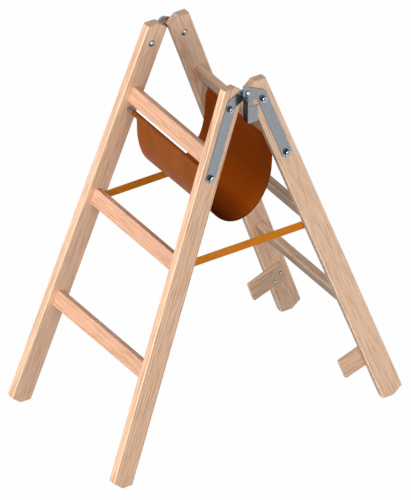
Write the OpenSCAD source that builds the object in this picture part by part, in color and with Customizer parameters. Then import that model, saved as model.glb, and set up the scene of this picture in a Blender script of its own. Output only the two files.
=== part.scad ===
// Wooden trestle ladder: two rung frames on a pair of steel hinges, with a tool sling and two stay straps.
// Millimetres. +Z is up, X runs from the front frame (-X) to the rear frame (+X), Y runs along the rungs.

/* [Frames] */
// Length of a stile along its middle, from ridge to ridge
stile_length = 1043; // [1000:1:1200]
// Depth of a stile, from its inner to its outer edge
stile_depth = 58; // [52:1:68]
// Thickness of a stile board
stile_thickness = 21.5; // [20:0.5:28]
// Rounding of a stile's long edges
stile_edge_radius = 3; // [1:0.5:5]
// Angle of each open frame from the vertical
half_angle = 20; // [16:0.5:24]
// Slope of each stile outwards, towards the foot
splay = 3.07; // [2:0.01:4]
// Clear width between the stiles at the hinge line
top_width = 317; // [290:1:400]
// Gap between the stiles' inner edges when the ladder is folded
folded_gap = 6; // [5:0.5:14]
// Distance of the hinge line below the stile's top ridge
pivot_drop = 7.5; // [4:0.5:12]

/* [Rungs] */
// Distance of the top rung's middle below the stile's top ridge
top_rung_drop = 194; // [180:1:210]
// Spacing of the rungs along the frame
rung_pitch = 280; // [260:1:300]
// Height of a rung along the frame
rung_height = 42; // [36:1:50]
// Thickness of a rung across the frame
rung_thickness = 18; // [16:1:24]
// Rounding of a rung's long edges
rung_edge_radius = 2.5; // [1:0.5:4]
// Height of a tenon
tenon_height = 30; // [24:1:34]
// Thickness of a tenon
tenon_thickness = 10; // [8:0.5:13]
// Length of a tenon
tenon_length = 15; // [10:0.5:16]
// Glue gap round a tenon
glue_gap = 0.1; // [0.05:0.05:0.3]

/* [Hinges] */
// Width of a hinge strap
leaf_width = 28; // [24:1:34]
// Thickness of the hinge plate
leaf_thickness = 3; // [2:0.5:4]
// Radius of the ear round the rivet
ear_radius = 14; // [12:0.5:16]
// Distance of the strap's rounded shoulder below the hinge line
shoulder_drop = 33; // [28:1:40]
// Distance of the upper hinge bolt below the hinge line
hinge_bolt_drop = 46.5; // [42:0.5:60]
// Diameter of the rivet
rivet_diameter = 8; // [6:0.5:10]
// Diameter of the rivet's domed head
rivet_head_diameter = 15; // [13:0.5:18]
// Height of the rivet's domed head
rivet_head_height = 5; // [3:0.5:6]
// Radial play of a plate that turns on the rivet
turning_play = 0.05; // [0.02:0.01:0.1]
// Play between plates that turn on the rivet
plate_play = 0.2; // [0.1:0.05:0.4]

/* [Hinge guard] */
// Thickness of the guard's sheet steel
guard_thickness = 2.5; // [1.5:0.5:3]
// Distance of the guard's lower edge below the hinge line
guard_drop = 69; // [60:1:80]
// Distance that the guard stands out from the hinge
guard_depth = 26; // [20:1:32]
// Height of the guard's outer cheek
guard_cheek_height = 46; // [30:1:50]
// Radius of the guard's bends
guard_bend_radius = 4; // [3.5:0.5:6]

/* [Tie rods and fasteners] */
// Diameter of the tie rods and hinge bolts
rod_diameter = 8; // [6:0.5:9]
// Distance of a tie rod below the top rung's middle
rod_drop = 38.5; // [34:0.5:46]
// Play of a rod or bolt in its hole
hole_play = 0.25; // [0.1:0.05:0.5]
// Width of a nut across its flats
nut_width = 13; // [13:0.5:15]
// Height of a nut
nut_height = 6.5; // [5:0.5:8]
// Diameter of a hinge washer
washer_diameter = 18; // [17:0.5:22]
// Thickness of a hinge washer
washer_thickness = 1.6; // [1:0.2:2.4]
// Length of thread that shows past a nut
thread_end = 2.5; // [1:0.5:5]
// Diameter of a hinge bolt's mushroom head
bolt_head_diameter = 18; // [16:0.5:20]
// Height of a hinge bolt's mushroom head
bolt_head_height = 4.5; // [3:0.5:6]

/* [Guide blocks] */
// Reach of a guide block past the rear stile's inner edge
block_reach = 57; // [40:1:65]
// Width of a guide block's seat on the stile
block_seat = 40; // [38:1:50]
// Height of a guide block along the stile
block_height = 55; // [48:1:70]
// Thickness of a guide block
block_thickness = 10; // [8:0.5:14]
// Set-back of a guide block's free end, which leads the front stile in
block_lead = 2; // [1:0.25:3]
// Distance of a guide block's middle above the stile's lower ridge
block_rise = 134; // [110:1:180]
// Rounding of a guide block's corners
block_corner_radius = 3; // [1:0.5:6]
// Distance of the inner pair of screws from the stile's inner edge
block_screw_inset = 8; // [7:0.5:12]
// Distance of the single screw from the inner pair
block_screw_row = 22; // [14:1:24]
// Spacing of the inner pair of screws
block_screw_pitch = 26; // [20:1:32]
// Diameter of a block screw
block_screw_diameter = 4.5; // [3:0.5:5]
// Diameter of a block screw's round head
block_screw_head = 9; // [7:0.5:10]
// Length of a block screw in the wood
block_screw_length = 25; // [18:1:26]

/* [Stay straps] */
// Distance of a strap's middle below the middle rung's middle
strap_drop = 4.5; // [0:0.5:12]
// Width of the webbing
strap_width = 22; // [18:1:26]
// Thickness of the webbing
strap_thickness = 2; // [1.5:0.5:3]
// Length of webbing that lies on each stile, at the strap's upper edge
strap_lap = 18.5; // [16:0.5:19]
// Distance of a strap's screw from the stile's inner edge
strap_screw_inset = 7.5; // [7:0.5:8.5]
// Diameter of a strap screw
strap_screw_diameter = 5; // [4:0.5:6]
// Diameter of a strap screw's round head
strap_screw_head = 10; // [8:0.5:11]
// Length of a strap screw
strap_screw_length = 18; // [12:1:20]
// Diameter of a strap washer
strap_washer_diameter = 14; // [12:0.5:15]
// Thickness of a strap washer
strap_washer_thickness = 1.2; // [0.8:0.2:2]

/* [Tool sling] */
// Length of the sling along the tie rods
sling_length = 294; // [220:1:300]
// Depth of the sling below the tie rods
sling_depth = 181; // [140:1:200]
// Thickness of the leather
sling_thickness = 2.5; // [1.5:0.5:4]
// Play of the sewn sleeve round its tie rod
sleeve_play = 0.3; // [0.2:0.1:1]

/* [Hidden] */
$fn = 64;

// Colours of the finishes
WOOD = "burlywood";
RUNG_WOOD = "navajowhite";
STEEL = "slategray";
BRIGHT = "lightsteelblue";
LEATHER = "sienna";
WEBBING = "darkorange";

// A frame is drawn in its own plane: x is the depth d outwards from the hinge line, z is minus the drop s.
inner_edge = folded_gap / 2;
mid_depth = inner_edge + stile_depth / 2;
ridge_slope = tan(half_angle);
top_ridge = -pivot_drop;
low_ridge = stile_length - pivot_drop;
pivot_z = low_ridge * cos(splay) * cos(half_angle) - mid_depth * sin(half_angle);
half_top = top_width / 2;
huge = 2 * stile_length;

// Drops of the rungs, the tie rod and the guide block below the hinge line
rung_drops = [for (i = [0:2]) top_rung_drop - pivot_drop + i * rung_pitch];
tie_drop = rung_drops[0] + rod_drop;
block_drop = low_ridge - block_rise;

// Half width of the frame at drop s, to the stiles' inner and outer faces
function inner_y(s) = half_top + s * tan(splay);
function outer_y(s) = inner_y(s) + stile_thickness / cos(splay);
// Length along the splayed board at drop s, for a point h outside the board's inner face
function board_l(s, h) = (s + h * sin(splay)) / cos(splay);
// Height over the board's inner face of a point at half width y and board length l
function board_h(y, l) = (y - half_top - l * sin(splay)) / cos(splay);
// Drop in a frame's plane of a point x from the middle plane and at height z
function frame_s(x, z) = x * sin(half_angle) + (pivot_z - z) * cos(half_angle);
// Distance from the middle plane of a point at depth d and height z
function x_at(d, z) = (d + (pivot_z - z) * sin(half_angle)) / cos(half_angle);
function unit(angle) = [cos(angle), sin(angle)];

// Layers of the hinge at the rivet, counted outwards: front ear, rear ear, the near side's guard, rivet head
front_layer = outer_y(1.6 * ear_radius);
rear_layer = front_layer + leaf_thickness + plate_play;
guard_layer = rear_layer + leaf_thickness + plate_play;
function head_layer(near) = near ? guard_layer + guard_thickness + plate_play : guard_layer;
rivet_flare = 1.5;

// Holes and washers
rod_hole = rod_diameter / 2 + hole_play;
thread_play = 0.05;
mortise_room = 1;
pilot_room = 1;
nut_corner = nut_width / 2 / cos(30);
nut_face = 0.46 * nut_width;
bolt_l = board_l(hinge_bolt_drop, stile_thickness);

// Straps lie on the inner faces: a slight slope follows the splay, and the seat keeps the weave off the wood
strap_tilt = atan(tan(splay) * cos(half_angle));
strap_seat = 0.1;
strap_height = pivot_z - rung_drops[1] * cos(half_angle) + mid_depth * sin(half_angle) - strap_drop;
strap_edge_x = x_at(inner_edge, strap_height);
strap_half = x_at(inner_edge + strap_lap, strap_height + strap_width / 2);
strap_screw_x = x_at(inner_edge + strap_screw_inset, strap_height);
strap_screw_l = board_l(frame_s(strap_screw_x, strap_height), 0);
strap_y = inner_y(frame_s(strap_edge_x, strap_height)) - strap_seat;
strap_wedge = tan(splay) * sin(half_angle);
strap_stack = strap_seat + strap_wedge * (strap_screw_x - strap_edge_x + strap_washer_diameter / 2)
    + strap_thickness;
screw_dome_share = 0.35;

// Sling: half an ellipse between the tie rods
rod_x = tie_drop * sin(half_angle) + mid_depth * cos(half_angle);
rod_z = pivot_z - tie_drop * cos(half_angle) + mid_depth * sin(half_angle);
sleeve_bore = rod_diameter / 2 + sleeve_play;
sling_steps = 40;

// Places a frame's plane in the open ladder
module in_frame(front) {
    translate([0, 0, pivot_z])
        if (front) mirror([1, 0, 0]) rotate([0, -half_angle, 0]) children();
        else rotate([0, -half_angle, 0]) children();
}

// Turns a far-side piece into the near-side one
module on_side(near) {
    if (near) mirror([0, 1, 0]) children();
    else children();
}

module both_sides() {
    children();
    mirror([0, 1, 0]) children();
}

// Splayed board of the far stile: y counts from its inner face, z is minus the length along it
module on_board() {
    translate([0, half_top, 0]) rotate([splay, 0, 0]) children();
}

// Plate between y and y + thick, with its outline drawn in x and z
module plate(y, thick) {
    translate([0, y + thick, 0]) rotate([90, 0, 0]) linear_extrude(thick) children();
}

// Round bar along +y
module bar(x, z, y, length, radius) {
    translate([x, y, z]) rotate([-90, 0, 0]) cylinder(h = length, r = radius);
}

// Spherical cap that stands on its base
module dome(diameter, height) {
    radius = (diameter * diameter / 4 + height * height) / (2 * height);
    intersection() {
        translate([0, 0, height - radius]) sphere(radius);
        cylinder(h = height, d = diameter);
    }
}

module rounded_rect(w, h, r) {
    translate([r, 0]) square([w - 2 * r, h]);
    translate([0, r]) square([w, h - 2 * r]);
    for (x = [r, w - r], y = [r, h - r])
        translate([x, y]) circle(r);
}

// Strip between the outer tangents of two discs
module strip(a, ra, b, rb) {
    gap = b - a;
    turn = atan2(gap.y, gap.x);
    lean = acos((ra - rb) / norm(gap));
    polygon([a + ra * unit(turn - lean), b + rb * unit(turn - lean),
        b + rb * unit(turn + lean), a + ra * unit(turn + lean)]);
}

// Slot with round ends, upright
module slot(w, h) {
    square([w, h - w], center = true);
    for (side = [-1, 1])
        translate([0, side * (h - w) / 2]) circle(d = w);
}

// Stiles
// Side view with roof-shaped ends; the inner half of the foot runs on for the floor to trim
module stile_profile() {
    fall = stile_depth / 2 * ridge_slope;
    trim = 2 * stile_thickness * sin(splay) + 2;
    outer_edge = inner_edge + stile_depth;
    polygon([
        [inner_edge, top_ridge + fall], [mid_depth, top_ridge], [outer_edge, top_ridge + fall],
        [outer_edge, low_ridge - fall], [mid_depth - trim, low_ridge + trim * ridge_slope],
        [inner_edge, low_ridge + trim * ridge_slope]
    ]);
}

module stile_board() {
    intersection() {
        plate(0, stile_thickness) mirror([0, 1]) stile_profile();
        translate([inner_edge, 0, -huge]) linear_extrude(2 * huge)
            rounded_rect(stile_depth, stile_thickness, stile_edge_radius);
    }
}

module mortises() {
    for (s = rung_drops)
        plate(inner_y(s) - tenon_height, tenon_height + tenon_length + mortise_room)
            translate([mid_depth, -s]) slot(tenon_thickness + 2 * glue_gap, tenon_height + 2 * glue_gap);
}

module stile(front, near) {
    color(WOOD) on_side(near) difference() {
        in_frame(front) difference() {
            on_board() stile_board();
            mortises();
            bar(mid_depth, -tie_drop, 0, huge, rod_hole);
            on_board() bar(mid_depth, -bolt_l, -stile_thickness, 3 * stile_thickness, rod_hole);
            at_strap_screw()
                bar(0, 0, -pilot_room, strap_screw_length - strap_stack - strap_washer_thickness + 2 * pilot_room,
                    strap_screw_diameter / 2 + glue_gap);
            if (!front)
                on_board() at_block_screws()
                    bar(0, 0, -pilot_room, block_screw_length - block_thickness + 2 * pilot_room,
                        block_screw_diameter / 2 + glue_gap);
        }
        translate([-huge, -huge, -huge]) cube([2 * huge, 2 * huge, huge]);
    }
}

// Rungs
module rung(front, s) {
    color(RUNG_WOOD) in_frame(front) {
        difference() {
            plate(-huge / 2, huge) translate([mid_depth - rung_thickness / 2, -s - rung_height / 2])
                rounded_rect(rung_thickness, rung_height, rung_edge_radius);
            both_sides() on_board() translate([-huge, 0, -huge]) cube([2 * huge, huge, 2 * huge]);
        }
        both_sides() plate(inner_y(s) - tenon_height, tenon_height + tenon_length)
            translate([mid_depth, -s]) slot(tenon_thickness, tenon_height);
    }
}

// Tie rods, nuts and washers
tie_washer_h = stile_thickness + leaf_thickness;
tie_washer_l = board_l(tie_drop, tie_washer_h);
tie_nut_y = outer_y(tie_drop) + (leaf_thickness + washer_thickness) / cos(splay) + nut_corner * tan(splay);
tie_half = tie_nut_y + nut_height + thread_end;

module tie_rod(front) {
    color(BRIGHT) in_frame(front) bar(mid_depth, -tie_drop, -tie_half, 2 * tie_half, rod_diameter / 2);
}

// Height over the board at which the washer of a hinge bolt lies: on the strap in front, on the flat arm behind
function bolt_washer_h(front) = front
    ? stile_thickness + leaf_thickness
    : board_h(rear_layer + leaf_thickness, bolt_l) + washer_diameter / 2 * tan(splay);

module washer(diameter, thickness, bore) {
    rotate([-90, 0, 0]) difference() {
        cylinder(h = thickness, d = diameter);
        translate([0, 0, -thickness]) cylinder(h = 3 * thickness, r = bore);
    }
}

// Hexagon whose corners are turned off at 30 degrees on its outer end
module nut() {
    rotate([-90, 0, 0]) difference() {
        intersection() {
            cylinder(h = nut_height, r = nut_corner, $fn = 6);
            cylinder(h = nut_height, r1 = nut_face + nut_height / tan(30), r2 = nut_face);
        }
        translate([0, 0, -nut_height]) cylinder(h = 3 * nut_height, r = rod_diameter / 2 + thread_play);
    }
}

module hinge_bolts(front) {
    length = bolt_washer_h(front) + washer_thickness + nut_height + thread_end;
    color(BRIGHT) in_frame(front) both_sides() on_board() translate([mid_depth, 0, -bolt_l]) {
        bar(0, 0, 0, length, rod_diameter / 2);
        rotate([90, 0, 0]) dome(bolt_head_diameter, bolt_head_height);
    }
}

module hinge_washers(front) {
    color(BRIGHT) in_frame(front) both_sides() on_board() {
        translate([mid_depth, bolt_washer_h(front), -bolt_l])
            washer(washer_diameter, washer_thickness, rod_hole);
        translate([mid_depth, tie_washer_h, -tie_washer_l])
            washer(washer_diameter, washer_thickness, rod_hole);
    }
}

module hinge_nuts(front) {
    color(BRIGHT) in_frame(front) both_sides() {
        on_board() translate([mid_depth, bolt_washer_h(front) + washer_thickness, -bolt_l]) nut();
        translate([mid_depth, tie_nut_y, -tie_drop]) nut();
    }
}

// Hinges
// Ear, shoulder and strap in one outline, drawn at drop s
module leaf_outline() {
    half = leaf_width / 2;
    shoulder = [mid_depth, -shoulder_drop];
    end = [mid_depth, -tie_drop];
    circle(ear_radius);
    translate(shoulder) circle(half);
    translate(end) circle(half);
    strip([0, 0], ear_radius, shoulder, half);
    strip(shoulder, half, end, half);
}

// Side view of a leaf: square to the rivet at the ear, and below the bend along the splayed stile
module leaf_bend(layer) {
    slant = leaf_thickness / cos(splay);
    low = tie_drop + leaf_width;
    inner_bend = (layer - outer_y(0)) / tan(splay);
    outer_bend = (layer + leaf_thickness - slant - outer_y(0)) / tan(splay);
    polygon([
        [layer, huge], [layer + leaf_thickness, huge], [layer + leaf_thickness, -outer_bend],
        [outer_y(low) + slant, -low], [outer_y(low), -low], [layer, -inner_bend]
    ]);
}

module hinge_leaf(front, near) {
    layer = front ? front_layer : rear_layer;
    ear_hole = rivet_diameter / 2 + turning_play;
    color(STEEL) on_side(near) in_frame(front) difference() {
        intersection() {
            plate(0, huge) leaf_outline();
            translate([-huge, 0, 0]) rotate([90, 0, 90]) linear_extrude(2 * huge) leaf_bend(layer);
        }
        bar(0, 0, 0, huge, ear_hole);
        bar(mid_depth, -tie_drop, 0, huge, rod_hole);
        on_board() bar(mid_depth, -bolt_l, 0, huge, rod_hole);
        if (front)
            translate([0, layer, 0]) rotate([-90, 0, 0])
                cylinder(h = rivet_flare, r1 = ear_hole + rivet_flare, r2 = ear_hole);
    }
}

// Rivet: flared flush with the front ear's inner face, domed outside
module hinge_rivet(near) {
    shank = rivet_diameter / 2;
    length = head_layer(near) - front_layer;
    color(BRIGHT) on_side(near) translate([0, front_layer, pivot_z]) rotate([-90, 0, 0]) {
        cylinder(h = length, r = shank);
        cylinder(h = rivet_flare, r1 = shank + rivet_flare, r2 = shank);
        translate([0, 0, length]) dome(rivet_head_diameter, rivet_head_height);
    }
}

// Guard of bent sheet on the near rivet: back plate, web towards the front frame, short outer cheek
module guard_section() {
    depth = guard_depth;
    inner_bend = guard_bend_radius - guard_thickness;
    intersection() {
        difference() {
            rounded_rect(4 * ear_radius, depth, guard_bend_radius);
            translate([guard_thickness, guard_thickness])
                rounded_rect(4 * ear_radius, depth - 2 * guard_thickness, inner_bend);
        }
        square([2 * ear_radius, depth]);
    }
}

module hinge_guard() {
    web_top = -rivet_head_diameter / 2;
    cheek_top = guard_cheek_height - guard_drop;
    color(STEEL) on_side(true) translate([0, 0, pivot_z]) difference() {
        union() {
            plate(guard_layer, guard_thickness) {
                circle(ear_radius);
                translate([guard_bend_radius - ear_radius, -guard_drop])
                    square([2 * ear_radius - guard_bend_radius, guard_drop]);
            }
            translate([-ear_radius, guard_layer, -guard_drop])
                linear_extrude(guard_drop + web_top) guard_section();
        }
        bar(0, 0, 0, huge, rivet_diameter / 2 + turning_play);
        translate([guard_thickness - ear_radius, guard_layer + guard_depth / 2, cheek_top]) cube(huge);
    }
}

// Guide blocks
module at_block_screws() {
    edge = inner_edge + block_screw_inset;
    for (place = [[edge, -0.5], [edge, 0.5], [edge + block_screw_row, 0]])
        translate([place.x, 0, -block_drop + place.y * block_screw_pitch]) children();
}

// The free end stands back from the front stile's face and tapers to lead it in
module block_plan() {
    seat_play = 0.5;
    polygon([
        [inner_edge + block_seat, 0], [inner_edge, 0], [inner_edge - seat_play, -seat_play],
        [inner_edge - block_reach, -block_lead], [inner_edge - block_reach, -block_thickness],
        [inner_edge + block_seat, -block_thickness]
    ]);
}

module guide_block(near) {
    color(WOOD) on_side(near) in_frame(false) on_board() difference() {
        intersection() {
            translate([0, 0, -block_drop - block_height / 2]) linear_extrude(block_height) block_plan();
            plate(-block_thickness, block_thickness)
                translate([inner_edge - block_reach, -block_drop - block_height / 2])
                    rounded_rect(block_reach + block_seat, block_height, block_corner_radius);
        }
        at_block_screws() bar(0, 0, -huge, 2 * huge, block_screw_diameter / 2 + glue_gap);
    }
}

// Round-head screw along +y, with the underside of its head at y = 0
module screw(diameter, head, length) {
    bar(0, 0, 0, length, diameter / 2);
    rotate([90, 0, 0]) dome(head, head * screw_dome_share);
}

module guide_block_screws() {
    color(BRIGHT) in_frame(false) both_sides() on_board() at_block_screws()
        translate([0, -block_thickness, 0]) screw(block_screw_diameter, block_screw_head, block_screw_length);
}

// Stay straps
module at_strap_screw() {
    on_board() translate([inner_edge + strap_screw_inset, 0, -strap_screw_l]) children();
}

module stay_strap(near) {
    color(WEBBING) on_side(near) difference() {
        translate([0, strap_y, strap_height]) rotate([strap_tilt, 0, 0])
            translate([-strap_half, -strap_thickness, -strap_width / 2])
                cube([2 * strap_half, strap_thickness, strap_width]);
        for (front = [true, false])
            in_frame(front) at_strap_screw()
                bar(0, 0, -huge, 2 * huge, strap_screw_diameter / 2 + hole_play);
    }
}

module strap_washers(front) {
    color(BRIGHT) in_frame(front) both_sides() at_strap_screw()
        translate([0, -strap_stack - strap_washer_thickness, 0])
            washer(strap_washer_diameter, strap_washer_thickness, strap_screw_diameter / 2 + hole_play);
}

module strap_screws(front) {
    color(BRIGHT) in_frame(front) both_sides() at_strap_screw()
        translate([0, -strap_stack - strap_washer_thickness, 0])
            screw(strap_screw_diameter, strap_screw_head, strap_screw_length);
}

// Tool sling
function sling_point(i, grow) =
    let (turn = 180 + 180 * i / sling_steps)
    [(rod_x + grow) * cos(turn), (sling_depth + grow) * sin(turn)];

module sling_section() {
    half = sling_thickness / 2;
    difference() {
        union() {
            polygon([
                for (i = [0:sling_steps]) sling_point(i, half),
                for (i = [sling_steps:-1:0]) sling_point(i, -half)
            ]);
            for (side = [-1, 1])
                translate([side * rod_x, 0]) circle(sleeve_bore + sling_thickness);
        }
        for (side = [-1, 1])
            translate([side * rod_x, 0]) circle(sleeve_bore);
    }
}

module tool_sling() {
    color(LEATHER) translate([0, 0, rod_z]) plate(-sling_length / 2, sling_length) sling_section();
}

stile(true, true);  // front_stile_near
stile(true, false);  // front_stile_far
stile(false, true);  // rear_stile_near
stile(false, false);  // rear_stile_far
rung(true, rung_drops[0]);  // front_rung_top
rung(true, rung_drops[1]);  // front_rung_middle
rung(true, rung_drops[2]);  // front_rung_bottom
rung(false, rung_drops[0]);  // rear_rung_top
rung(false, rung_drops[1]);  // rear_rung_middle
rung(false, rung_drops[2]);  // rear_rung_bottom
tie_rod(true);  // front_tie_rod
tie_rod(false);  // rear_tie_rod
hinge_leaf(true, true);  // front_hinge_leaf_near
hinge_leaf(true, false);  // front_hinge_leaf_far
hinge_leaf(false, true);  // rear_hinge_leaf_near
hinge_leaf(false, false);  // rear_hinge_leaf_far
hinge_rivet(true);  // hinge_rivet_near
hinge_rivet(false);  // hinge_rivet_far
hinge_guard();
hinge_bolts(true);  // front_hinge_bolts
hinge_bolts(false);  // rear_hinge_bolts
hinge_nuts(true);  // front_hinge_nuts
hinge_nuts(false);  // rear_hinge_nuts
hinge_washers(true);  // front_hinge_washers
hinge_washers(false);  // rear_hinge_washers
guide_block(true);  // guide_block_near
guide_block(false);  // guide_block_far
guide_block_screws();
stay_strap(true);  // stay_strap_near
stay_strap(false);  // stay_strap_far
strap_screws(true);  // front_strap_screws
strap_screws(false);  // rear_strap_screws
strap_washers(true);  // front_strap_washers
strap_washers(false);  // rear_strap_washers
tool_sling();
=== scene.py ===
# %% [markdown]
# # A wooden trestle ladder
#
# Two rung frames of ash lean against each other and turn on a pair of steel hinges. Two webbing straps keep
# them from spreading, and a leather tool sling hangs between the top rungs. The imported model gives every
# rigid piece its shape and place, so this lesson is about the finishes, the soft pieces, the light and the
# camera. All lengths are metres.

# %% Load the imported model
import math

import bpy
import numpy as np
from mathutils import Matrix, Vector


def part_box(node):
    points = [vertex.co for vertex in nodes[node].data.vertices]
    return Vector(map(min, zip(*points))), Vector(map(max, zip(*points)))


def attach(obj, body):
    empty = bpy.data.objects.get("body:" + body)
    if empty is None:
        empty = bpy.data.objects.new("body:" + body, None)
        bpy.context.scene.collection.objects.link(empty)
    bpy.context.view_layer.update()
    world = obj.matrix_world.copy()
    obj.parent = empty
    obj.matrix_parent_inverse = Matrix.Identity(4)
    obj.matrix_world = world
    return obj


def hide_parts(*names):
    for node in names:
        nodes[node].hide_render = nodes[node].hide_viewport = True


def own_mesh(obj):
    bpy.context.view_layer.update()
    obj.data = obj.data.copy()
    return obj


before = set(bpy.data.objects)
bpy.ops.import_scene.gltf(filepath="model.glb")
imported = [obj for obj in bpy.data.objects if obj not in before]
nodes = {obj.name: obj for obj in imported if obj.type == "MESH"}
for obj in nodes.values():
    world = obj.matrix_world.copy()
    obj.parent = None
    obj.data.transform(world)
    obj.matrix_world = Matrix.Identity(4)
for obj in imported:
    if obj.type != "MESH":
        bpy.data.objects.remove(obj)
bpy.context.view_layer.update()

# %% [markdown]
# The sizes below are the model's own: how far each frame leans, how far its stiles spread, and where the
# tie rods lie. A frame has its own axes: *out* points away from the other frame, and *up* runs along the
# frame towards the hinge. Every wooden and every soft piece is worked out along them.

# %% Axes of the two frames
LEAN = math.radians(20)
SPLAY = math.radians(3.07)


def frame_axes(sign):
    """Outward and upward unit vectors of the front frame (sign -1) or the rear frame (sign 1)."""
    out = np.array([sign * math.cos(LEAN), 0.0, math.sin(LEAN)])
    up = np.array([-sign * math.sin(LEAN), 0.0, math.cos(LEAN)])
    return out, up


def middle(node):
    """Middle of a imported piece's box."""
    low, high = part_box(node)
    return (np.array(low) + np.array(high)) / 2


SIDES = {"near": -1, "far": 1}
ENDS = {"front": -1, "rear": 1}
rods = {end: middle(end + "_tie_rod") for end in ENDS}

# %% [markdown]
# ## The camera
#
# The picture is a parallel projection: edges that are parallel on the ladder stay parallel in it. An
# orthographic camera does the same. Its scale is the height of the picture in metres, and its place along
# the line of sight only has to be far enough away.

# %% Camera
AZIMUTH, ELEVATION = math.radians(-32.572), math.radians(32.809)
PIXELS_PER_METRE = 420.45
PICTURE = (411, 500)
ORIGIN_PIXEL = (204.755, 396.376)
CAMERA_AWAY = 4.0

back = Vector((math.sin(AZIMUTH) * math.cos(ELEVATION), -math.cos(AZIMUTH) * math.cos(ELEVATION),
               math.sin(ELEVATION)))
turn = (-back).to_track_quat("-Z", "Y")
across = (PICTURE[0] / 2 - ORIGIN_PIXEL[0]) / PIXELS_PER_METRE
above = (ORIGIN_PIXEL[1] - PICTURE[1] / 2) / PIXELS_PER_METRE
lens = bpy.data.cameras.new("camera")
lens.type = "ORTHO"
lens.ortho_scale = max(PICTURE) / PIXELS_PER_METRE
camera = bpy.data.objects.new("camera", lens)
bpy.context.scene.collection.objects.link(camera)
camera.rotation_mode = "QUATERNION"
camera.rotation_quaternion = turn
camera.location = turn @ Vector((across, above, 0)) + back * CAMERA_AWAY
bpy.context.scene.camera = camera
print("picture height", round(lens.ortho_scale, 4), "m")

# %% [markdown]
# ## Colours and nodes
#
# Colours are written as hex values, as a paint chart gives them, and one function turns them into the
# linear light that the renderer adds up. A second function adds a shader node, sets its values and links
# its inputs, so each finish below reads from its pattern to its shader. A third starts a new finish.

# %% Helpers for the finishes
def tint(code):
    """sRGB hex to linear light: the low end is divided by 12.92, the rest follows the 2.4 power curve."""
    srgb = np.array([int(code[i:i + 2], 16) / 255 for i in (1, 3, 5)])
    light = np.where(srgb <= 0.04045, srgb / 12.92, ((srgb + 0.055) / 1.055) ** 2.4)
    return (*light.tolist(), 1.0)


def add(tree, kind, inputs=None, **settings):
    """Adds one node. An input takes a value, or a socket of another node to link from."""
    node = tree.nodes.new("ShaderNode" + kind)
    for name, value in settings.items():
        setattr(node, name, value)
    for name, value in (inputs or {}).items():
        if isinstance(value, bpy.types.NodeSocket):
            tree.links.new(value, node.inputs[name])
        else:
            node.inputs[name].default_value = value
    return node


def finish(name):
    """A new material with an empty node tree and its output node."""
    material = bpy.data.materials.new(name)
    material.use_nodes = True
    material.node_tree.nodes.clear()
    return material, material.node_tree, add(material.node_tree, "OutputMaterial")


# Inputs and output of a colour Mix node, and the inputs that take their place when it mixes plain numbers
FACTOR, FIRST, SECOND, MIXED = 0, 6, 7, 2
FIRST_NUMBER, SECOND_NUMBER = 2, 3
# Noise lies mostly between these values. A Map Range node spreads them out: its inputs 0 to 4 are the value,
# the range that comes in and the range that goes out
NOISE_LOW, NOISE_HIGH = 0.3, 0.7
print("white is", tint("#FFFFFF"))

# %% [markdown]
# ## Light and floor
#
# Faces that look to the front are the bright ones, faces that look to the near side are a little duller,
# and what lies behind another board is in its shade. So the warm key lamp stands level with the ladder,
# square to its front, and leaves the tops of the front rungs dull. A wide, soft lamp from above the front
# opens the shade it makes. A paler lamp lights the near side, soft enough that the near boards throw no
# hard shadow on the far ones, and it is the only lamp that metal mirrors. A fourth keeps the back from
# being flat, and the sky fills in, cooler and dimmer overhead, as in a room with pale walls. What the
# camera and shiny metal see of the sky and the floor is plain white, and the floor keeps a faint shadow
# of the ladder.

# %% Lamps
WARM, PALE = "#FFF6E6", "#FFFCF1"


def lamp(name, source, share, softness, colour, mirrored=False):
    """A parallel lamp that fills softness degrees of the sky round its source. On a face square to it, it
    adds share times the colour of that face."""
    light = bpy.data.lights.new(name, "SUN")
    light.energy = share * math.pi
    light.angle = math.radians(softness)
    light.color = tint(colour)[:3]
    piece = bpy.data.objects.new(name, light)
    piece.rotation_euler = Vector(source).to_track_quat("Z", "Y").to_euler()
    piece.visible_glossy = mirrored
    bpy.context.scene.collection.objects.link(piece)
    print(name, "lamp", share)


lamp("key", (-1, 0, 0.02), share=0.6, softness=2, colour=WARM)
lamp("high", (-1, -0.1, 1), share=0.38, softness=44, colour=WARM)
# In metal this lamp puts a glint on domes and chamfers, and none on the flat hinge plates
lamp("side", (-0.075, -1, 0.21), share=0.575, softness=30, colour=PALE, mirrored=True)
lamp("back", (0.6, 0.8, 0), share=0.45, softness=20, colour=WARM)

# %% Sky and floor
# Strength of the sky level with the ladder and overhead
SKY_LEVEL, SKY_OVERHEAD = 0.32, 0.03
FLOOR_HALF = 6.0
FLOOR_WHITE = 0.985


def backdrop_share(tree):
    """1 for rays that show the backdrop, straight or by a mirror or glass, and 0 for rays that light."""
    rays = add(tree, "LightPath").outputs
    shown = add(tree, "Math", {0: rays["Is Camera Ray"], 1: rays["Is Glossy Ray"]}, operation="MAXIMUM")
    shown = add(tree, "Math", {0: shown.outputs[0], 1: rays["Is Transmission Ray"]}, operation="MAXIMUM")
    return shown.outputs[0]


sky = bpy.data.worlds.new("sky")
bpy.context.scene.world = sky
sky.use_nodes = True
tree = sky.node_tree
tree.nodes.clear()
upward = add(tree, "SeparateXYZ", {0: add(tree, "TexCoord").outputs["Generated"]}).outputs["Z"]
dimmed = add(tree, "MapRange", {0: upward, 1: 0.0, 2: 1.0, 3: SKY_LEVEL, 4: SKY_OVERHEAD})
sky_light = add(tree, "Background", {"Color": tint("#DCE9FF"), "Strength": dimmed.outputs[0]})
sky_white = add(tree, "Background", {"Color": tint("#FFFFFF"), "Strength": 1.0})
sky_mix = add(tree, "MixShader", {0: backdrop_share(tree), 1: sky_light.outputs[0],
                                  2: sky_white.outputs[0]})
add(tree, "OutputWorld", {"Surface": sky_mix.outputs[0]})

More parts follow.
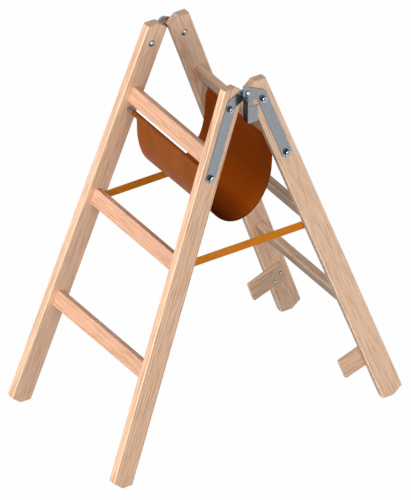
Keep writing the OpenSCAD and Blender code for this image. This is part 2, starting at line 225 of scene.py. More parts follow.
floor_mesh = bpy.data.meshes.new("floor")
floor_mesh.from_pydata([(-FLOOR_HALF, -FLOOR_HALF, 0), (FLOOR_HALF, -FLOOR_HALF, 0),
                        (FLOOR_HALF, FLOOR_HALF, 0), (-FLOOR_HALF, FLOOR_HALF, 0)], [], [(0, 1, 2, 3)])
floor = bpy.data.objects.new("floor", floor_mesh)
bpy.context.scene.collection.objects.link(floor)
floor_paint, tree, output = finish("floor_paint")
matt = add(tree, "BsdfDiffuse", {"Color": tint("#B8B8B8")})
white = add(tree, "Emission", {"Color": tint("#FFFFFF"), "Strength": 1.0})
share = add(tree, "Math", {0: backdrop_share(tree), 1: FLOOR_WHITE}, operation="MULTIPLY")
blend = add(tree, "MixShader", {0: share.outputs[0], 1: matt.outputs[0], 2: white.outputs[0]})
tree.links.new(blend.outputs[0], output.inputs["Surface"])
floor_mesh.materials.append(floor_paint)
bpy.context.scene.view_settings.view_transform = "Standard"
print("floor", 2 * FLOOR_HALF, "m wide")

# %% [markdown]
# ## Ash
#
# Ash is pale, with growth rings that show as fine streaks along a board, as arches where a ring runs
# almost flat, and as arcs on a sawn end. One picture of streaks would not turn the corner from face to
# end. So each board is cut from an imagined log: its grain is the distance from the log's middle, wavering
# slowly along the length. The rings are drawn about 6 mm apart, wider than real ones, so that they still
# show when the whole ladder is in view.

# %% Growth rings
RING = 0.006
# Repeats per metre of the waver along, through and across a board, and how far it carries a ring
WAVER, WAVER_SHIFT = (2.0, 6, 6), 0.016
# Real rings are uneven: repeats of the noise per ring, and by how many rings it shifts them
UNEVEN_PACE, UNEVEN_SHIFT = 0.45, 1.2
# Shares of a year at which the late wood begins and is darkest, and what is left of it at the year's end
LATE_START, LATE_FULL, LATE_END = 0.35, 0.82, 0.05


def growth_rings(tree, board):
    """Ring number = distance from the log's middle / ring width, and its fraction is the time of year.
    Returns the wavering place on the board and the share of late wood there."""
    slow = add(tree, "VectorMath", {0: board, 1: WAVER}, operation="MULTIPLY")
    waver = add(tree, "TexNoise", {"Vector": slow.outputs[0], "Scale": 1.0, "Detail": 2.0})
    waver = add(tree, "VectorMath", {0: waver.outputs["Color"], 1: (0.5, 0.5, 0.5)}, operation="SUBTRACT")
    bent = add(tree, "VectorMath", {0: waver.outputs[0], 1: (0, WAVER_SHIFT, WAVER_SHIFT), 2: board},
               operation="MULTIPLY_ADD")
    flat = add(tree, "VectorMath", {0: bent.outputs[0], 1: (0, 1, 1)}, operation="MULTIPLY")
    reach = add(tree, "VectorMath", {0: flat.outputs[0]}, operation="LENGTH")
    rings = add(tree, "Math", {0: reach.outputs["Value"], 1: RING}, operation="DIVIDE")
    uneven = add(tree, "TexNoise", {"W": rings.outputs[0], "Scale": UNEVEN_PACE, "Detail": 1.0},
                 noise_dimensions="1D")
    rings = add(tree, "Math", {0: uneven.outputs[0], 1: UNEVEN_SHIFT, 2: rings.outputs[0]},
                operation="MULTIPLY_ADD")
    year = add(tree, "Math", {0: rings.outputs[0]}, operation="FRACT")
    late = add(tree, "ValToRGB", {0: year.outputs[0]})
    ramp = late.color_ramp.elements
    ramp[0].color, ramp[0].position = (0, 0, 0, 1), LATE_START
    ramp[1].color, ramp[1].position = (1, 1, 1, 1), LATE_FULL
    fall = ramp.new(1.0)
    fall.color = (LATE_END, LATE_END, LATE_END, 1)
    return bent.outputs[0], late.outputs[0]


print("rings are", RING, "m wide")

# %% [markdown]
# Between the rings run finer fibres and open pores, drawn 3 to 4 mm wide so that they show too. A pale
# highlight is painted along the rounded long edges. Planed and oiled, the wood has a soft gloss.

# %% Ash boards
# Early wood, late wood, bright streaks, pores and the painted highlight of the rounded edges: of the stiles,
# of the rungs, which are redder in front and painted greyer behind for the shade the rear ones lie in, and
# of the browner guide blocks
STILE_WOOD = "#F0C9AE", "#C69470", "#F8DBC6", "#AE7E5E", "#FFEBD2"
RUNG_WOOD = {"front": ("#EABBA1", "#C28A67", "#F2CCB7", "#AA7658", "#E0B092"),
             "rear": ("#DABDA6", "#B58C6B", "#E2CEBC", "#9E785C", "#D1B297")}
BLOCK_WOOD = "#DEBAA1", "#B78968", "#E5CBB7", "#A17557", "#FFEBD2"
# Repeats per metre along, through and across a board
FIBRES, CLOUDS, PORES = (8, 250, 250), (1.6, 26, 26), (16, 330, 330)
# From one board to the next, the cut moves on along the log by this much
LOG_STEP = 0.731


def ash(name, axes, pith, seed, strength, tones):
    """Rows of axes: along, through and across the board. The pith is the log's middle, by the last two."""
    material, tree, output = finish(name)
    early, latest, streak, pore, edge_highlight = (tint(code) for code in tones)
    here = add(tree, "TexCoord").outputs
    start = Vector((seed * LOG_STEP, 0, 0))
    turn = Matrix(axes).to_euler()
    board = add(tree, "Mapping", {"Vector": here["Object"], "Rotation": turn,
                                  "Location": start - Vector((0, *pith))}).outputs[0]
    bent, late = growth_rings(tree, board)
    fine = add(tree, "VectorMath", {0: board, 1: FIBRES}, operation="MULTIPLY")
    fibre = add(tree, "TexNoise", {"Vector": fine.outputs[0], "Scale": 1.0, "Detail": 3.0,
                                   "Roughness": 0.6})
    broad = add(tree, "VectorMath", {0: board, 1: CLOUDS}, operation="MULTIPLY")
    cloud = add(tree, "TexNoise", {"Vector": broad.outputs[0], "Scale": 1.0, "Detail": 2.0})
    depth = add(tree, "MapRange", {0: cloud.outputs[0], 1: NOISE_LOW, 2: NOISE_HIGH,
                                   3: 0.6 * strength, 4: strength})
    depth = add(tree, "Math", {0: late, 1: depth.outputs[0]}, operation="MULTIPLY")
    grown = add(tree, "Mix", {FACTOR: depth.outputs[0], FIRST: early, SECOND: latest}, data_type="RGBA")
    thread = add(tree, "MapRange", {0: fibre.outputs[0], 1: 0.4, 2: 0.7, 3: 0.0, 4: 0.6})
    light = add(tree, "Mix", {FACTOR: thread.outputs[0], FIRST: grown.outputs[MIXED], SECOND: streak},
                data_type="RGBA")
    thin = add(tree, "VectorMath", {0: bent, 1: PORES}, operation="MULTIPLY")
    pores = add(tree, "TexNoise", {"Vector": thin.outputs[0], "Scale": 1.0, "Detail": 2.0})
    pores = add(tree, "MapRange", {0: pores.outputs[0], 1: 0.5, 2: 0.66, 3: 0.0, 4: 0.45})
    wood = add(tree, "Mix", {FACTOR: pores.outputs[0], FIRST: light.outputs[MIXED], SECOND: pore},
               data_type="RGBA")
    # On a rounded long edge the face looks partly through and partly across the board, and there a pale
    # highlight is painted on
    facing = add(tree, "Mapping", {"Vector": here["Normal"], "Rotation": turn}, vector_type="VECTOR")
    facing = add(tree, "SeparateXYZ", {0: facing.outputs[0]}).outputs
    oblique = add(tree, "Math", {0: facing["Y"], 1: facing["Z"]}, operation="MULTIPLY")
    oblique = add(tree, "Math", {0: oblique.outputs[0]}, operation="ABSOLUTE")
    rounded = add(tree, "MapRange", {0: oblique.outputs[0], 1: 0.2, 2: 0.45, 3: 0.0, 4: 0.6})
    edge_highlighted = add(tree, "Mix", {FACTOR: rounded.outputs[0], FIRST: wood.outputs[MIXED], SECOND: edge_highlight},
                 data_type="RGBA")
    height = add(tree, "Math", {0: pores.outputs[0], 1: -0.8, 2: fibre.outputs[0]},
                 operation="MULTIPLY_ADD")
    bump = add(tree, "Bump", {"Height": height.outputs[0], "Strength": 0.1, "Distance": 0.0004})
    gloss = add(tree, "MapRange", {0: fibre.outputs[0], 1: NOISE_LOW, 2: NOISE_HIGH, 3: 0.42, 4: 0.56})
    shader = add(tree, "BsdfPrincipled", {"Base Color": edge_highlighted.outputs[MIXED],
                                          "Roughness": gloss.outputs[0], "Normal": bump.outputs[0],
                                          "IOR": 1.5, "Specular IOR Level": 0.3})
    tree.links.new(shader.outputs[0], output.inputs["Surface"])
    return material


def dress(node, material):
    """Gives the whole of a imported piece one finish."""
    for slot in nodes[node].material_slots:
        slot.material = material


# %% [markdown]
# Each board gets its own cut: its three axes, the place of the log's middle beside it, and a start along
# the log. The third axis is always the cross product of the other two, so that the axes form a turn and
# never a mirror image.

# %% Dress the boards
# Where the log's middle lay, through and across each board, and how strongly its rings show
STILE_CUT = {"front_stile_near": (0.03, -0.21, 1.15), "front_stile_far": (0.02, 0.17, 0.4),
             "rear_stile_near": (-0.05, 0.24, 0.42), "rear_stile_far": (0.06, -0.2, 0.4)}
RUNG_CUT = {"top": (0.06, 0.2, 0.6), "middle": (-0.05, -0.22, 0.6), "bottom": (0.07, 0.18, 0.6)}
BLOCK_CUT = (0.05, 0.10, 0.5)
seed = 0
for end, sign in ENDS.items():
    out, up = frame_axes(sign)
    for side, hand in SIDES.items():
        name = f"{end}_stile_{side}"
        along = up * math.cos(SPLAY) - np.array([0, hand * math.sin(SPLAY), 0])
        axes = np.array([along, np.cross(out, along), out])
        *offset, strength = STILE_CUT[name]
        pith = (axes @ middle(name))[1:] + np.array(offset)
        seed += 1
        dress(name, ash("ash_" + name, axes, pith, seed, strength, STILE_WOOD))
    for level, (*offset, strength) in RUNG_CUT.items():
        name = f"{end}_rung_{level}"
        axes = np.array([np.cross(out, up), out, up])
        pith = (axes @ middle(name))[1:] + np.array(offset) * [sign, 1]
        seed += 1
        dress(name, ash("ash_" + name, axes, pith, seed, strength, RUNG_WOOD[end]))
out, up = frame_axes(ENDS["rear"])
*offset, strength = BLOCK_CUT
for side in SIDES:
    name = "guide_block_" + side
    axes = np.array([out, up, np.cross(out, up)])
    pith = (axes @ middle(name))[1:] + np.array(offset)
    seed += 1
    dress(name, ash("ash_" + name, axes, pith, seed, strength, BLOCK_WOOD))
print("ash boards:", seed)

# %% [markdown]
# ## Zinc-plated steel
#
# The hinge leaves and the guard are cut from sheet and zinc plated: a satin blue-grey with a faint cloudy
# bloom on the rolled faces. Where the shears went through and on the bent web of the guard it is painted
# almost black, a painted shade for the dark those faces would mirror. Cut edges that look up are kept out
# of it, painted light as if they caught the lamps. The rolled faces all look along the hinge line, so the
# direction of a face tells which is which. Nuts and rivets are plated smoother and mirror more of the room.
# Bolts and screws are a little duller, and the old tie rods duller still. On nuts, rivets, bolts and screws
# the flanks are painted dark, a painted shade of the same kind; the tie rods have none. All are metals, so
# apart from the painted shade their colour is the colour of what they reflect.

# %% Steel
# Grain of the plating, drawn at about 1 mm so that it shows
GRIT = 0.0011
# How softly a face passes into its painted shade and into an upward edge kept out of it as painted light,
# and how far its roughness varies
PAINTED_SHADE_FADE, LIT_TOP_FADE, SATIN = 0.2, 0.1, 0.04
# A direction lies between -1 and 1, so with these limits no upward edge is kept out of the painted shade,
# and no face takes the painted shade
NO_LIT_TOP, NO_PAINTED_SHADE = 2.0, -1.0


def zinc(name, colour, bloom, painted_shade, turned, lit_top, rough, cloud_size):
    """Plated metal: noise mixes colour and bloom. Faces that look along the hinge line by less than turned
    take the painted dark colour, a painted shade for the dark they would mirror; faces that look up are kept
    out of it, painted light as if lit."""
    material, tree, output = finish(name)
    coords = add(tree, "TexCoord").outputs
    cloud = add(tree, "TexNoise", {"Vector": coords["Object"], "Scale": 1 / cloud_size, "Detail": 4.0})
    tone = add(tree, "MapRange", {0: cloud.outputs[0], 1: NOISE_LOW, 2: NOISE_HIGH})
    face = add(tree, "Mix", {FACTOR: tone.outputs[0], FIRST: tint(colour), SECOND: tint(bloom)},
               data_type="RGBA")
    facing = add(tree, "SeparateXYZ", {0: coords["Normal"]}).outputs
    # Faces turned away from the hinge line get a painted shade, and faces that look up are kept out of it as
    # painted light
    along = add(tree, "Math", {0: facing["Y"]}, operation="ABSOLUTE")
    side = add(tree, "MapRange", {0: along.outputs[0], 1: turned - PAINTED_SHADE_FADE, 2: turned + PAINTED_SHADE_FADE,
                                  3: 1.0, 4: 0.0})
    wear_and_lit_top = add(tree, "MapRange", {0: facing["Z"], 1: lit_top, 2: lit_top + LIT_TOP_FADE, 3: 1.0, 4: 0.0})
    painted_shade_mask = add(tree, "Math", {0: side.outputs[0], 1: wear_and_lit_top.outputs[0]}, operation="MULTIPLY")
    plate = add(tree, "Mix", {FACTOR: painted_shade_mask.outputs[0], FIRST: face.outputs[MIXED], SECOND: tint(painted_shade)},
                data_type="RGBA")
    satin = add(tree, "MapRange", {0: cloud.outputs[0], 1: NOISE_LOW, 2: NOISE_HIGH,
                                   3: rough - SATIN, 4: rough + SATIN})
    grit = add(tree, "TexNoise", {"Vector": coords["Object"], "Scale": 1 / GRIT, "Detail": 2.0})
    bump = add(tree, "Bump", {"Height": grit.outputs[0], "Strength": 0.02, "Distance": 0.0002})
    shader = add(tree, "BsdfPrincipled", {"Base Color": plate.outputs[MIXED], "Metallic": 1.0,
                                          "Roughness": satin.outputs[0], "Normal": bump.outputs[0]})
    tree.links.new(shader.outputs[0], output.inputs["Surface"])
    return material


# The fourth colour of each is its painted shade, for flanks and cut edges that would mirror the dark
sheet_zinc = zinc("zinc_plated_sheet", "#8F949B", "#989DA3", "#3A4042",
                  turned=0.55, lit_top=0.2, rough=0.2, cloud_size=0.012)
bright_zinc = zinc("zinc_plated_nut", "#BFC3C6", "#DADCDD", "#4A4F52",
                   turned=0.7, lit_top=NO_LIT_TOP, rough=0.15, cloud_size=0.004)
dull_zinc = zinc("zinc_plated_bolt", "#A9ADB0", "#C4C7C9", "#595E61",
                 turned=0.86, lit_top=NO_LIT_TOP, rough=0.15, cloud_size=0.004)
aged_zinc = zinc("aged_zinc", "#9C9D9E", "#B4B4B3", "#595E61",
                 turned=NO_PAINTED_SHADE, lit_top=NO_LIT_TOP, rough=0.3, cloud_size=0.004)
STEEL = {"leaf": sheet_zinc, "guard": sheet_zinc, "hinge_washers": sheet_zinc, "nuts": bright_zinc,
         "rivet": bright_zinc, "bolts": dull_zinc, "screws": dull_zinc, "strap_washers": dull_zinc,
         "tie_rod": aged_zinc}
plated = [(node, metal) for node in nodes for word, metal in STEEL.items() if word in node]
for node, metal in plated:
    dress(node, metal)
print("steel pieces dressed:", len(plated))

# %% [markdown]
# ## Surfaces from grids
#
# Each soft piece is one profile carried along a path. The points form a grid: a row for each station on
# the path, a column for each point of the profile. Neighbouring points make the faces, worked out with
# index arithmetic for the whole grid at once. The volume of the result tells whether its faces point
# outwards.

# %% Grid to mesh
def skin(name, grid, uv, material, ring=False):
    """Closed tubes from a grid (tubes, stations, profile points, xyz). A ring joins up with itself, and the
    ends of any other tube are closed with quads."""
    tubes, rows, columns, _ = grid.shape
    index = np.arange(tubes * rows * columns).reshape(tubes, rows, columns)
    ahead, onward = np.roll(index, -1, axis=2), np.roll(index, -1, axis=1)
    sides = np.stack([index, ahead, np.roll(ahead, -1, axis=1), onward], axis=-1)
    faces = sides.reshape(-1, 4)
    if not ring:
        there = np.arange(columns // 2 - 1)
        back = columns - 1 - there
        cap = np.stack([there, back, back - 1, there + 1], axis=-1)
        caps = [cap[:, ::-1] + index[:, :1, :1], cap + index[:, -1:, :1]]
        faces = np.concatenate([part.reshape(-1, 4) for part in (sides[:, :-1], *caps)])
    a, b, c, d = np.moveaxis(grid.reshape(-1, 3)[faces], 1, 0)
    volume = np.sum(np.cross(a, b) * c + np.cross(a, c) * d) / 6
    if volume < 0:
        faces = faces[:, ::-1]
    mesh = bpy.data.meshes.new(name)
    mesh.from_pydata(grid.reshape(-1, 3), [], faces.tolist())
    layer = mesh.uv_layers.new(name="flat")
    corners = np.empty(len(mesh.loops), dtype=np.int32)
    mesh.loops.foreach_get("vertex_index", corners)
    layer.data.foreach_set("uv", uv.reshape(-1, 2)[corners].astype(np.float32).ravel())
    mesh.polygons.foreach_set("use_smooth", np.ones(len(mesh.polygons), dtype=bool))
    mesh.materials.append(material)
    mesh.update()
    piece = bpy.data.objects.new(name, mesh)
    bpy.context.scene.collection.objects.link(piece)
    print(name, len(faces), "faces,", round(abs(volume) * 1e6, 1), "cm3")
    return piece


# Points round each half-round edge of a strip, and how far from it the outermost points of its flats lie
EDGE_POINTS, EDGE_INSET = 7, 0.0004


def strip_loop(width, thickness, steps):
    """Profile of a thin strip with half-round edges, once round: places across, and heights from -1 to 1."""
    radius = thickness / 2
    angle = np.linspace(-np.pi / 2, np.pi / 2, EDGE_POINTS)
    end = width / 2 - radius
    flat = np.linspace(-end, end, steps)
    flat[[0, -1]] = -end + EDGE_INSET, end - EDGE_INSET
    rounded = end + radius * np.cos(angle)
    across = np.concatenate([flat, rounded, flat[::-1], -rounded])
    height = np.concatenate([np.full(steps, -1.0), np.sin(angle), np.full(steps, 1.0), -np.sin(angle)])
    return across, height


# %% [markdown]
# ## Leather
#
# The sling is thick saddle leather, dyed tan. Outside it has a fine pebbled grain and small clouds where
# the dye took more or less. Inside is the flesh side: fibrous, with light and shade painted on, lighter on
# the lower rear slope, where light reaches in, and darker from the bottom up the front, which lies in shade.
# The cut edges are burnished.
# Real grain is under a millimetre wide; it is drawn at about 2 mm so that it shows. The pattern follows the
# sling's own flat map in metres, from the rear rim under the bottom to the front rim, so it doesn't stretch
# on the curve and doesn't break where the halves meet. The flesh side lies a metre further along that map,
# which tells the two sides apart. Leather is matt, so it gets little of the shader's surface shine. It is
# sewn with waxed linen thread, whose twist shows as slanted bands.

# %% Saddle leather
SLING_LENGTH = 0.294
SLING_AROUND = 0.4492
FLESH = 1.0
PEBBLE, DYE_CLOUD, NAP = 0.0022, 0.06, 0.003
# How far from a cut edge the burnish begins, and how far from it the burnish is full
BURNISH_START, BURNISH_FULL = 0.0022, 0.0008
# Painted light and shade of the flesh side, from the rear rim (0) to the front rim (1): the bottom is at 0.5
PAINTED_LIGHT_AND_SHADE = ((0.0, "#A24B10"), (0.22, "#B05613"), (0.39, "#EC7518"),
        (0.5, "#B2540F"), (0.59, "#5C2606"), (1.0, "#6A2E08"))


def saddle_leather():
    """Grain side and flesh side, told apart by the flat map, and burnished edges at both ends of it."""
    material, tree, output = finish("saddle_leather")
    flat = add(tree, "TexCoord").outputs["UV"]
    place = add(tree, "SeparateXYZ", {0: flat}).outputs
    pebble = add(tree, "TexVoronoi", {"Vector": flat, "Scale": 1 / PEBBLE}, feature="DISTANCE_TO_EDGE")
    dye = add(tree, "TexNoise", {"Vector": flat, "Scale": 1 / DYE_CLOUD, "Detail": 4.0})
    tone = add(tree, "MapRange", {0: dye.outputs[0], 1: NOISE_LOW, 2: NOISE_HIGH})
    hide = add(tree, "Mix", {FACTOR: tone.outputs[0], FIRST: tint("#87491C"), SECOND: tint("#985424")},
               data_type="RGBA")
    crease = add(tree, "MapRange", {0: pebble.outputs["Distance"], 1: 0.0, 2: 0.12, 3: 0.25, 4: 0.0})
    grain = add(tree, "Mix", {FACTOR: crease.outputs[0], FIRST: hide.outputs[MIXED],
                              SECOND: tint("#71300C")}, data_type="RGBA")
    nap = add(tree, "TexNoise", {"Vector": flat, "Scale": 1 / NAP, "Detail": 5.0, "Roughness": 0.7})
    fibres = add(tree, "MapRange", {0: nap.outputs[0], 1: NOISE_LOW, 2: NOISE_HIGH})
    around = add(tree, "MapRange", {0: place["Y"], 1: FLESH, 2: FLESH + SLING_AROUND})
    # The flesh side's colour along the way round is painted light and shade
    painted_light_and_shade = add(tree, "ValToRGB", {0: around.outputs[0]})
    stops = painted_light_and_shade.color_ramp.elements
    # A ramp starts with a stop at each end
    for share, _ in PAINTED_LIGHT_AND_SHADE[1:-1]:
        stops.new(share)
    for stop, (_, colour) in zip(stops, PAINTED_LIGHT_AND_SHADE):
        stop.color = tint(colour)
    flesh = add(tree, "Mix", {FACTOR: fibres.outputs[0], FIRST: painted_light_and_shade.outputs[0], SECOND: tint("#DDD6CE")},
                data_type="RGBA", blend_type="MULTIPLY")
    inside = add(tree, "Math", {0: place["Y"], 1: FLESH / 2}, operation="GREATER_THAN")
    sides = add(tree, "Mix", {FACTOR: inside.outputs[0], FIRST: grain.outputs[MIXED],
                              SECOND: flesh.outputs[MIXED]}, data_type="RGBA")
    across = add(tree, "Math", {0: place["X"]}, operation="ABSOLUTE")
    edge = add(tree, "MapRange", {0: across.outputs[0], 1: SLING_LENGTH / 2 - BURNISH_START,
                                  2: SLING_LENGTH / 2 - BURNISH_FULL})
    burnished = add(tree, "Mix", {FACTOR: edge.outputs[0], FIRST: sides.outputs[MIXED],
                                  SECOND: tint("#5A2408")}, data_type="RGBA")
    height = add(tree, "Mix", {FACTOR: inside.outputs[0], FIRST_NUMBER: pebble.outputs["Distance"],
                               SECOND_NUMBER: nap.outputs[0]})
    bump = add(tree, "Bump", {"Height": height.outputs[0], "Strength": 0.15, "Distance": 0.0004})
    gloss = add(tree, "MapRange", {0: inside.outputs[0], 3: 0.5, 4: 0.85})
    shader = add(tree, "BsdfPrincipled", {"Base Color": burnished.outputs[MIXED],
                                          "Roughness": gloss.outputs[0], "Normal": bump.outputs[0],
                                          "Specular IOR Level": 0.06})
    tree.links.new(shader.outputs[0], output.inputs["Surface"])
    return material


leather = saddle_leather()
print("leather has", len(PAINTED_LIGHT_AND_SHADE), "stages of wear inside")

# %% Waxed thread
TWIST = 0.004


def waxed_thread():
    """Two tones of brown in slanted bands along the stitch."""
    material, tree, output = finish("waxed_thread")
    flat = add(tree, "TexCoord").outputs["UV"]
    twist = add(tree, "TexWave", {"Vector": flat, "Scale": 1 / TWIST, "Distortion": 0.6},
                bands_direction="DIAGONAL")
    strand = add(tree, "Mix", {FACTOR: twist.outputs["Fac"], FIRST: tint("#6E3C16"),
                               SECOND: tint("#8E5626")}, data_type="RGBA")
    bump = add(tree, "Bump", {"Height": twist.outputs["Fac"], "Strength": 0.4, "Distance": 0.0001})
    shader = add(tree, "BsdfPrincipled", {"Base Color": strand.outputs[MIXED], "Roughness": 0.55,
                                          "Normal": bump.outputs[0]})
    tree.links.new(shader.outputs[0], output.inputs["Surface"])
    return material


thread = waxed_thread()
print("thread has a twist of", TWIST, "m")

# %% [markdown]
# ## The tool sling
#
# The sling hangs on the two tie rods. A cloth simulation could find its shape, but a formula gives the
# same shape in every run and lets the sling fold with the frames. Its lower part is half an ellipse. Above
# it the weight of the leather draws the walls in, most of all just below the rods, so that they hang nearly
# plumb, and towards the far end it hangs a little fuller. When the ladder folds, each half goes with its
# own frame, so the sling is made in two halves that meet at the bottom. The stations crowd together there,
# which keeps the shading smooth across the join. Along the top the leather is doubled and sewn, and goes
# round the rod as a sleeve.

# %% Sling halves
SLING_DEPTH = 0.181
# The most that a wall is drawn in, and the share of the depth at which it is
DRAWN_IN, DRAWN_AT = 0.009, 0.15
# How much fuller the far end hangs, and the shares of the depth at which it does and over which that fades
FULLER, FULL_AT, FULL_REACH = 0.005, 0.78, 0.22
LEATHER = 0.0025
SLEEVE_BORE = 0.0043
# The hem: how far it reaches down from the rod, how much thicker it is, and over what length it ends
HEM_WIDTH, HEM_EXTRA, HEM_END = 0.022, 0.0010, 0.0012
# A faint ripple of the walls: its height, where it is below the rod, how far it reaches, and its pitch
RIPPLE, RIPPLE_AT, RIPPLE_REACH, RIPPLE_PITCH = 0.0009, 0.055, 0.045, 0.098
SLING_ROWS, SLING_COLUMNS = 112, 60
# Angles close below the rod, among which is the one where the path leaves the sleeve's wall
NEAR_ROD = np.linspace(0, 0.05, 200)
span, _, rod_z = rods["rear"]


def sling_path(sign, t):
    """Points and outward normals at angles t below the rod: half cos t out, depth sin t down. Half is the
    span less DRAWN_IN times u exp(1 - u), where u = sin t / DRAWN_AT. The normal is square to the slope."""
    level, down, out = np.zeros_like(t), np.sin(t), np.cos(t)
    u = down / DRAWN_AT
    half = span - DRAWN_IN * u * np.exp(1 - u)
    narrowing = DRAWN_IN / DRAWN_AT * (1 - u) * np.exp(1 - u)
    path = np.stack([sign * half * out, level, rod_z - SLING_DEPTH * down], axis=-1)
    normal = np.stack([sign * SLING_DEPTH * out, level, -half * down - narrowing * out ** 2], axis=-1)
    return path, normal / np.linalg.norm(normal, axis=1, keepdims=True)


def sling_half(end, sign):
    """A strip carried down the path. It starts inside the sleeve's wall, with smaller steps lower down."""
    from_rod = np.linalg.norm(sling_path(sign, NEAR_ROD)[0] - rods[end], axis=1)
    first = np.interp(SLEEVE_BORE + LEATHER / 2, from_rod, NEAR_ROD)
    t = first + (np.pi / 2 - first) * np.sin(np.linspace(0, np.pi / 2, SLING_ROWS))
    path, normal = sling_path(sign, t)
    run = np.concatenate([[0], np.cumsum(np.linalg.norm(np.diff(path, axis=0), axis=1))])
    y, height = strip_loop(SLING_LENGTH, LEATHER, SLING_COLUMNS)
    # Outer face at +1, inner face at -1; the sewn hem makes the inner side thicker near the rod
    hem = np.clip((HEM_WIDTH - run) / HEM_END, 0, 1)
    inner = LEATHER / 2 + HEM_EXTRA * hem[:, None]
    lift = np.where(height >= 0, height * LEATHER / 2, height * inner)
    swell = RIPPLE * np.exp(-((run - RIPPLE_AT) / RIPPLE_REACH) ** 2)
    wave = swell[:, None] * np.sin(y * 2 * np.pi / RIPPLE_PITCH + sign)
    grid = path[:, None, :] + normal[:, None, :] * (lift + wave)[..., None]
    grid[..., 1] = y
    fuller = FULLER * np.cos(t) * np.exp(-((np.sin(t) - FULL_AT) / FULL_REACH) ** 2)
    grid[..., 0] += sign * fuller[:, None] * (y / SLING_LENGTH + 0.5)
    along = (run if sign > 0 else SLING_AROUND - run)[:, None]
    uv = np.stack(np.broadcast_arrays(y, along + FLESH * (height < 0)), axis=-1)
    return skin("sling_" + end, grid[None], uv, leather), run[-1]


sling = {}
for end, sign in ENDS.items():
    sling[end], sling_run = sling_half(end, sign)
print("each sling half is", round(sling_run, 4), "m long")

# %% Sleeves round the tie rods
SLEEVE_ROWS, SLEEVE_COLUMNS = 32, 40


def sling_sleeve(end):
    """The strip's profile carried round the rod, starting at the bottom, where the sling leaves it."""
    y, height = strip_loop(SLING_LENGTH, LEATHER, SLEEVE_COLUMNS)
    radius = SLEEVE_BORE + LEATHER / 2 * (1 + height)
    around = np.linspace(0, 2 * np.pi, SLEEVE_ROWS + 1)[:-1, None]
    grid = np.stack(np.broadcast_arrays(rods[end][0] + np.sin(around) * radius, y,
                                        rods[end][2] - np.cos(around) * radius), axis=-1)
    uv = np.stack(np.broadcast_arrays(y, around * SLEEVE_BORE), axis=-1)
    return skin("sling_sleeve_" + end, grid[None], uv, leather, ring=True)


sleeve = {end: sling_sleeve(end) for end in ENDS}

# %% [markdown]
# The hem is closed by one row of saddle stitches, seen on both faces: short lengths of thread that rise out
# of the leather and dip back into it. All of them are one array, a small tube for each.

# %% Stitches
STITCH, STITCH_PITCH, THREAD = 0.0044, 0.006, 0.00055
SEAM_DOWN = 0.017
# How high a stitch stands at its middle and how far it dips from there to its ends, in radii of the thread
STITCH_TOP, STITCH_DIP = 0.8, 1.6
STITCH_ROWS, STITCH_SIDES = 7, 8


def seam(end, sign):
    """Each stitch is a circle carried along a low arch. Its height falls off from the middle as the fourth
    power of the distance."""
    turn = np.arcsin(SEAM_DOWN / SLING_DEPTH)
    (place,), (normal,) = sling_path(sign, np.array([turn]))
    count = int(SLING_LENGTH / STITCH_PITCH) - 1
    start = (np.arange(count) - (count - 1) / 2) * STITCH_PITCH
    s = np.linspace(-1, 1, STITCH_ROWS)
    rise = THREAD * (STITCH_TOP - STITCH_DIP * s ** 4)
    around = np.linspace(0, 2 * np.pi, STITCH_SIDES + 1)[:-1]
    down = np.cross(normal, [0, 1, 0])
    tubes = []
    for face, toward in ((LEATHER / 2, 1), (LEATHER / 2 + HEM_EXTRA, -1)):
        height = toward * (face + rise[:, None] + THREAD * np.cos(around))
        ring = place + height[..., None] * normal + (THREAD * np.sin(around))[:, None] * down
        tube = np.broadcast_to(ring, (count, *ring.shape)).copy()
        tube[..., 1] = start[:, None, None] + s[:, None] * STITCH / 2
        tubes.append(tube if toward > 0 else tube[:, :, ::-1])
    grid = np.concatenate(tubes)
    uv = np.stack(np.broadcast_arrays(grid[..., 1], around * THREAD), axis=-1)
    return skin("sling_seam_" + end, grid, uv, thread)


stitches = {end: seam(end, sign) for end, sign in ENDS.items()}

# %% [markdown]
# ## The stay straps
#
# Each strap is flat woven webbing, screwed to the inner faces of the two stiles on its side. It is taut
# when the ladder stands open, so a straight strip is enough. As with the sling, each half goes with its own
# frame. The weave is drawn at 2 to 3 mm, a little coarse, so that it shows.

# %% Webbing
# Spacing of the weave along and across the strap, and the size of its worn patches
WEFT, WARP, WORN_PATCH = 0.0030, 0.0022, 0.02


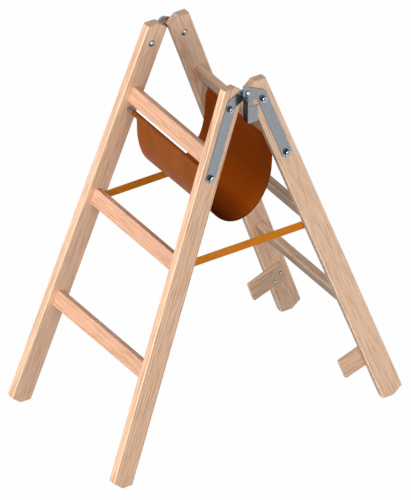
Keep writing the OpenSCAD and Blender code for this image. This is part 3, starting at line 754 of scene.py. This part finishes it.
def webbing():
    """A chequer of two dyed tones for the weave, the first one clouded where it is worn."""
    material, tree, output = finish("flat_webbing")
    flat = add(tree, "TexCoord").outputs["UV"]
    grid = add(tree, "VectorMath", {0: flat, 1: (1 / WEFT, 1 / WARP, 0)}, operation="MULTIPLY")
    weave = add(tree, "TexChecker", {"Vector": grid.outputs[0], "Scale": 1.0})
    wear_and_lit_top = add(tree, "TexNoise", {"Vector": flat, "Scale": 1 / WORN_PATCH, "Detail": 3.0})
    tone = add(tree, "MapRange", {0: wear_and_lit_top.outputs[0], 1: NOISE_LOW, 2: NOISE_HIGH})
    dyed = add(tree, "Mix", {FACTOR: tone.outputs[0], FIRST: tint("#D67E1E"), SECOND: tint("#E4902E")},
               data_type="RGBA")
    woven = add(tree, "Mix", {FACTOR: weave.outputs["Fac"], FIRST: dyed.outputs[MIXED],
                              SECOND: tint("#C87418")}, data_type="RGBA")
    bump = add(tree, "Bump", {"Height": weave.outputs["Fac"], "Strength": 0.2, "Distance": 0.0003})
    shader = add(tree, "BsdfPrincipled", {"Base Color": woven.outputs[MIXED], "Roughness": 0.8,
                                          "Normal": bump.outputs[0], "Specular IOR Level": 0.1})
    tree.links.new(shader.outputs[0], output.inputs["Surface"])
    return material


tape = webbing()
print("webbing has a weave of", WEFT, "by", WARP, "m")

# %% Strap halves
STRAP_WIDTH = 0.022
STRAP = 0.002
STRAP_ROWS, STRAP_COLUMNS = 60, 12


def strap_half(side, hand, end, sign):
    """The strip's profile, tilted like the splayed stile, carried level from the middle to the stile."""
    _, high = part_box("stay_strap_" + side)
    tilt = math.atan(math.tan(SPLAY) * math.cos(LEAN))
    x = np.linspace(0, high[0], STRAP_ROWS)
    z, height = strip_loop(STRAP_WIDTH, STRAP, STRAP_COLUMNS)
    rise = np.array([0, -hand * math.sin(tilt), math.cos(tilt)])
    outward = np.array([0, hand * math.cos(tilt), math.sin(tilt)])
    centre = middle("stay_strap_" + side) * [0, 1, 1]
    profile = centre + z[:, None] * rise + (height * STRAP / 2)[:, None] * outward
    grid = profile + sign * x[:, None, None] * np.array([1, 0, 0])
    uv = np.stack(np.broadcast_arrays(sign * x[:, None], z), axis=-1)
    return skin(f"strap_{side}_{end}", grid[None], uv, tape), high[0]


strap = {}
for side, hand in SIDES.items():
    for end, sign in ENDS.items():
        strap[side, end], strap_run = strap_half(side, hand, end, sign)
print("each strap half is", round(strap_run, 4), "m long")

# %% [markdown]
# ## How the soft pieces move
#
# Each half rides with its frame.


for end, sign in ENDS.items():
    body = end + "_frame"
    out, _ = frame_axes(sign)
    for piece in (sling[end], sleeve[end], stitches[end]):
        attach(piece, body)
        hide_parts("tool_sling")
    for piece in (sling[end], stitches[end]):
        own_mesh(piece)
    for side in SIDES:
        piece = strap[side, end]
        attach(piece, body)
        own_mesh(piece)
        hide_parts("stay_strap_" + side)
